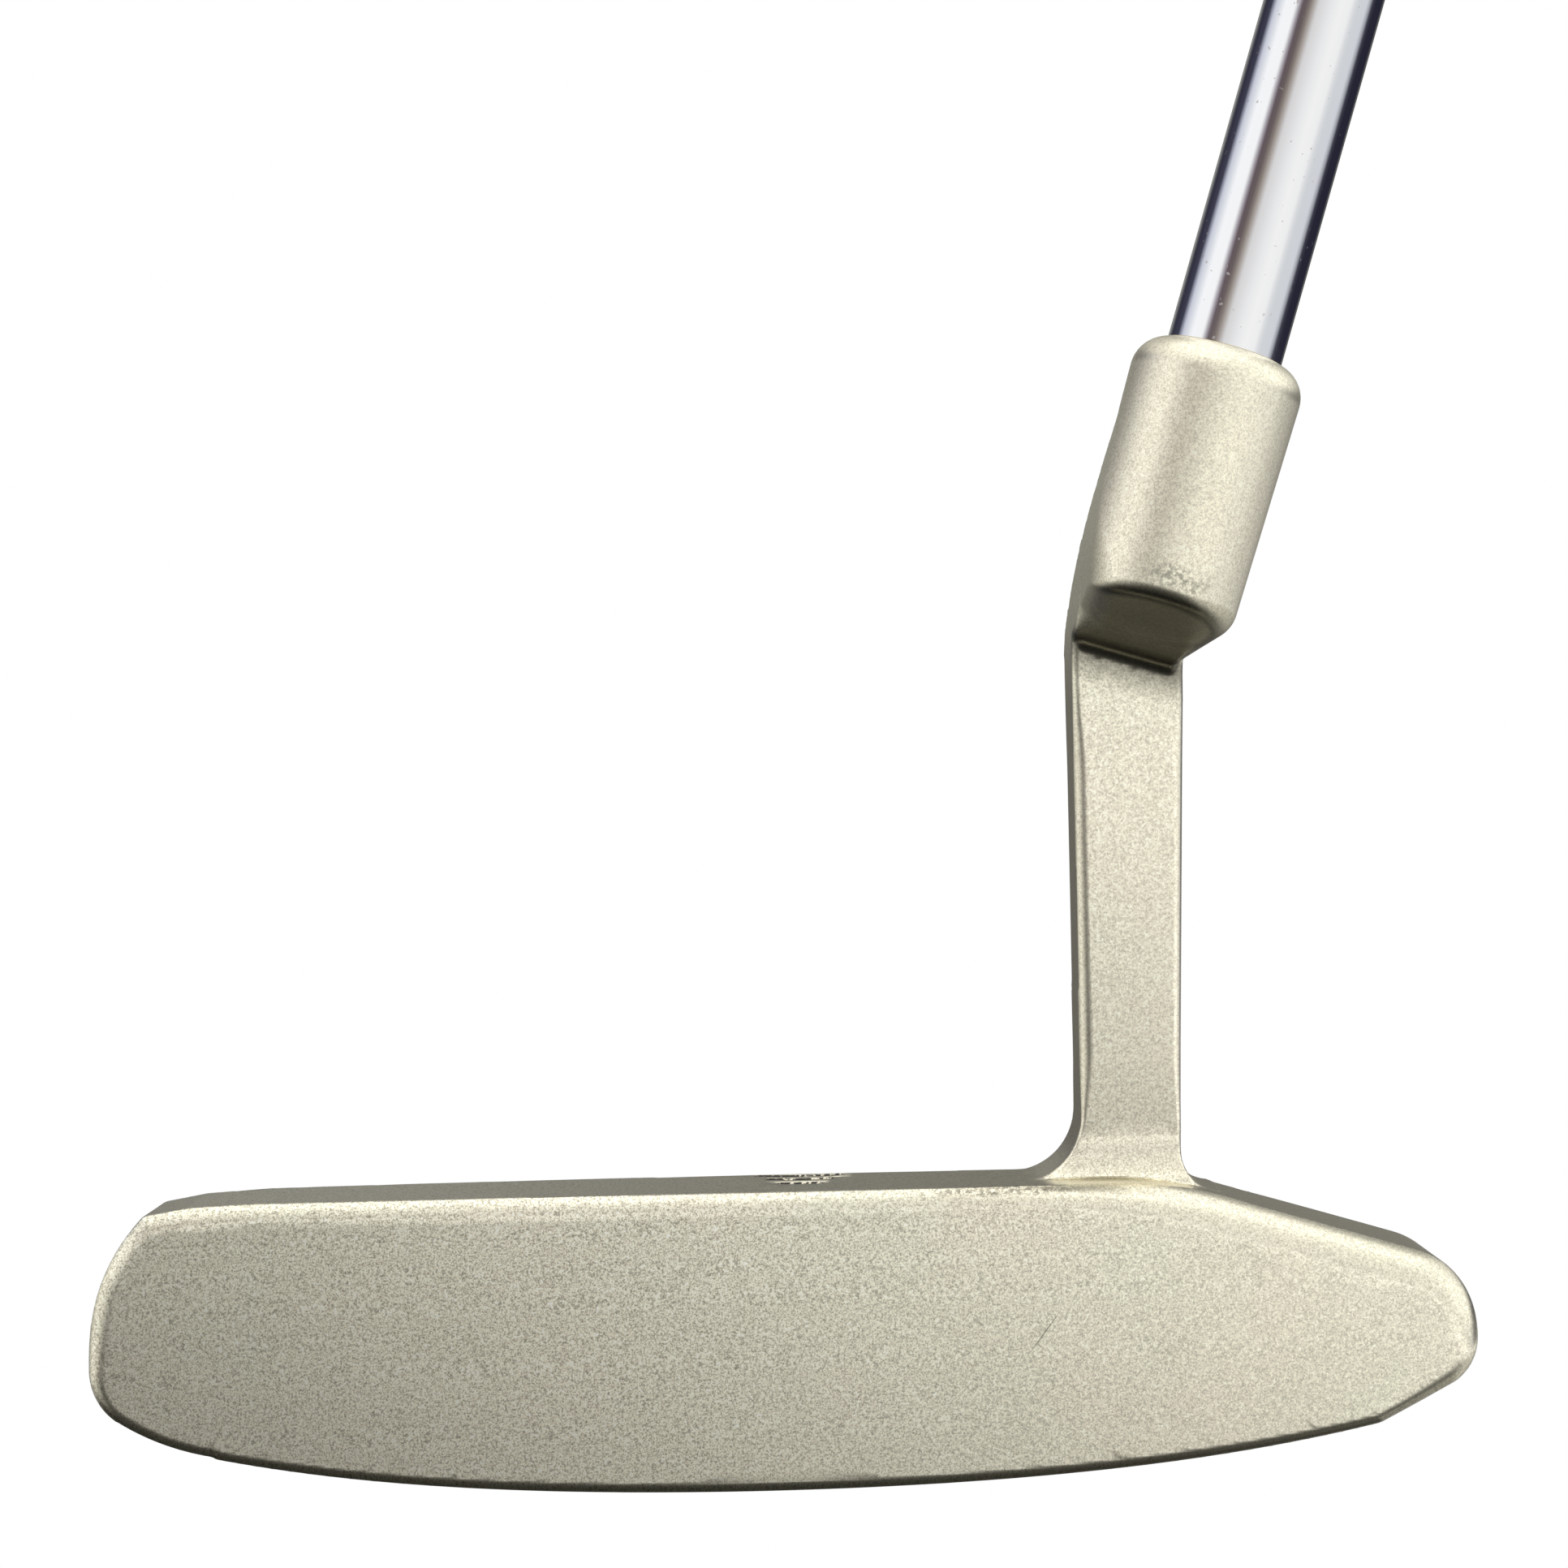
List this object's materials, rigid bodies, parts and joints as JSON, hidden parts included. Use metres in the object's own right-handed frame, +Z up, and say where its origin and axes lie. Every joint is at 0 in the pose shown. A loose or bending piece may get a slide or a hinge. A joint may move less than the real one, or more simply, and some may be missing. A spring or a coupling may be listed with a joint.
{
  "type": "blade putter",
  "caption": "Blade putter with a cast head on an offset plumber's neck, a stepped plated steel shaft and a moulded pistol grip.",
  "frame": {"origin": "lowest point of the sole, on the ground, with the club soled as at address", "axes": "+Z up, +X from toe to heel, -Y the way the face looks"},
  "size_m": [0.3518, 0.0391, 0.8508],
  "materials": {
    "head_steel": "bead-blasted, warm grey",
    "sight_paint": "worn dark paint",
    "glue": "cured epoxy",
    "plug_plastic": "moulded",
    "shaft_chrome": "polished plating",
    "tape": "paper tape",
    "grip_rubber": "moulded, matte",
    "cap_rubber": "moulded, satin"
  },
  "bodies": {
    "root": {"putter_head": "head_steel", "rear_sight_line_paint": "sight_paint", "middle_sight_line_paint": "sight_paint", "front_sight_line_paint": "sight_paint", "hosel_glue": "glue", "tip_plug": "plug_plastic", "shaft": "shaft_chrome", "grip_tape": "tape", "grip_sleeve": "grip_rubber", "grip_butt_cap": "cap_rubber"}
  },
  "joints": []
}
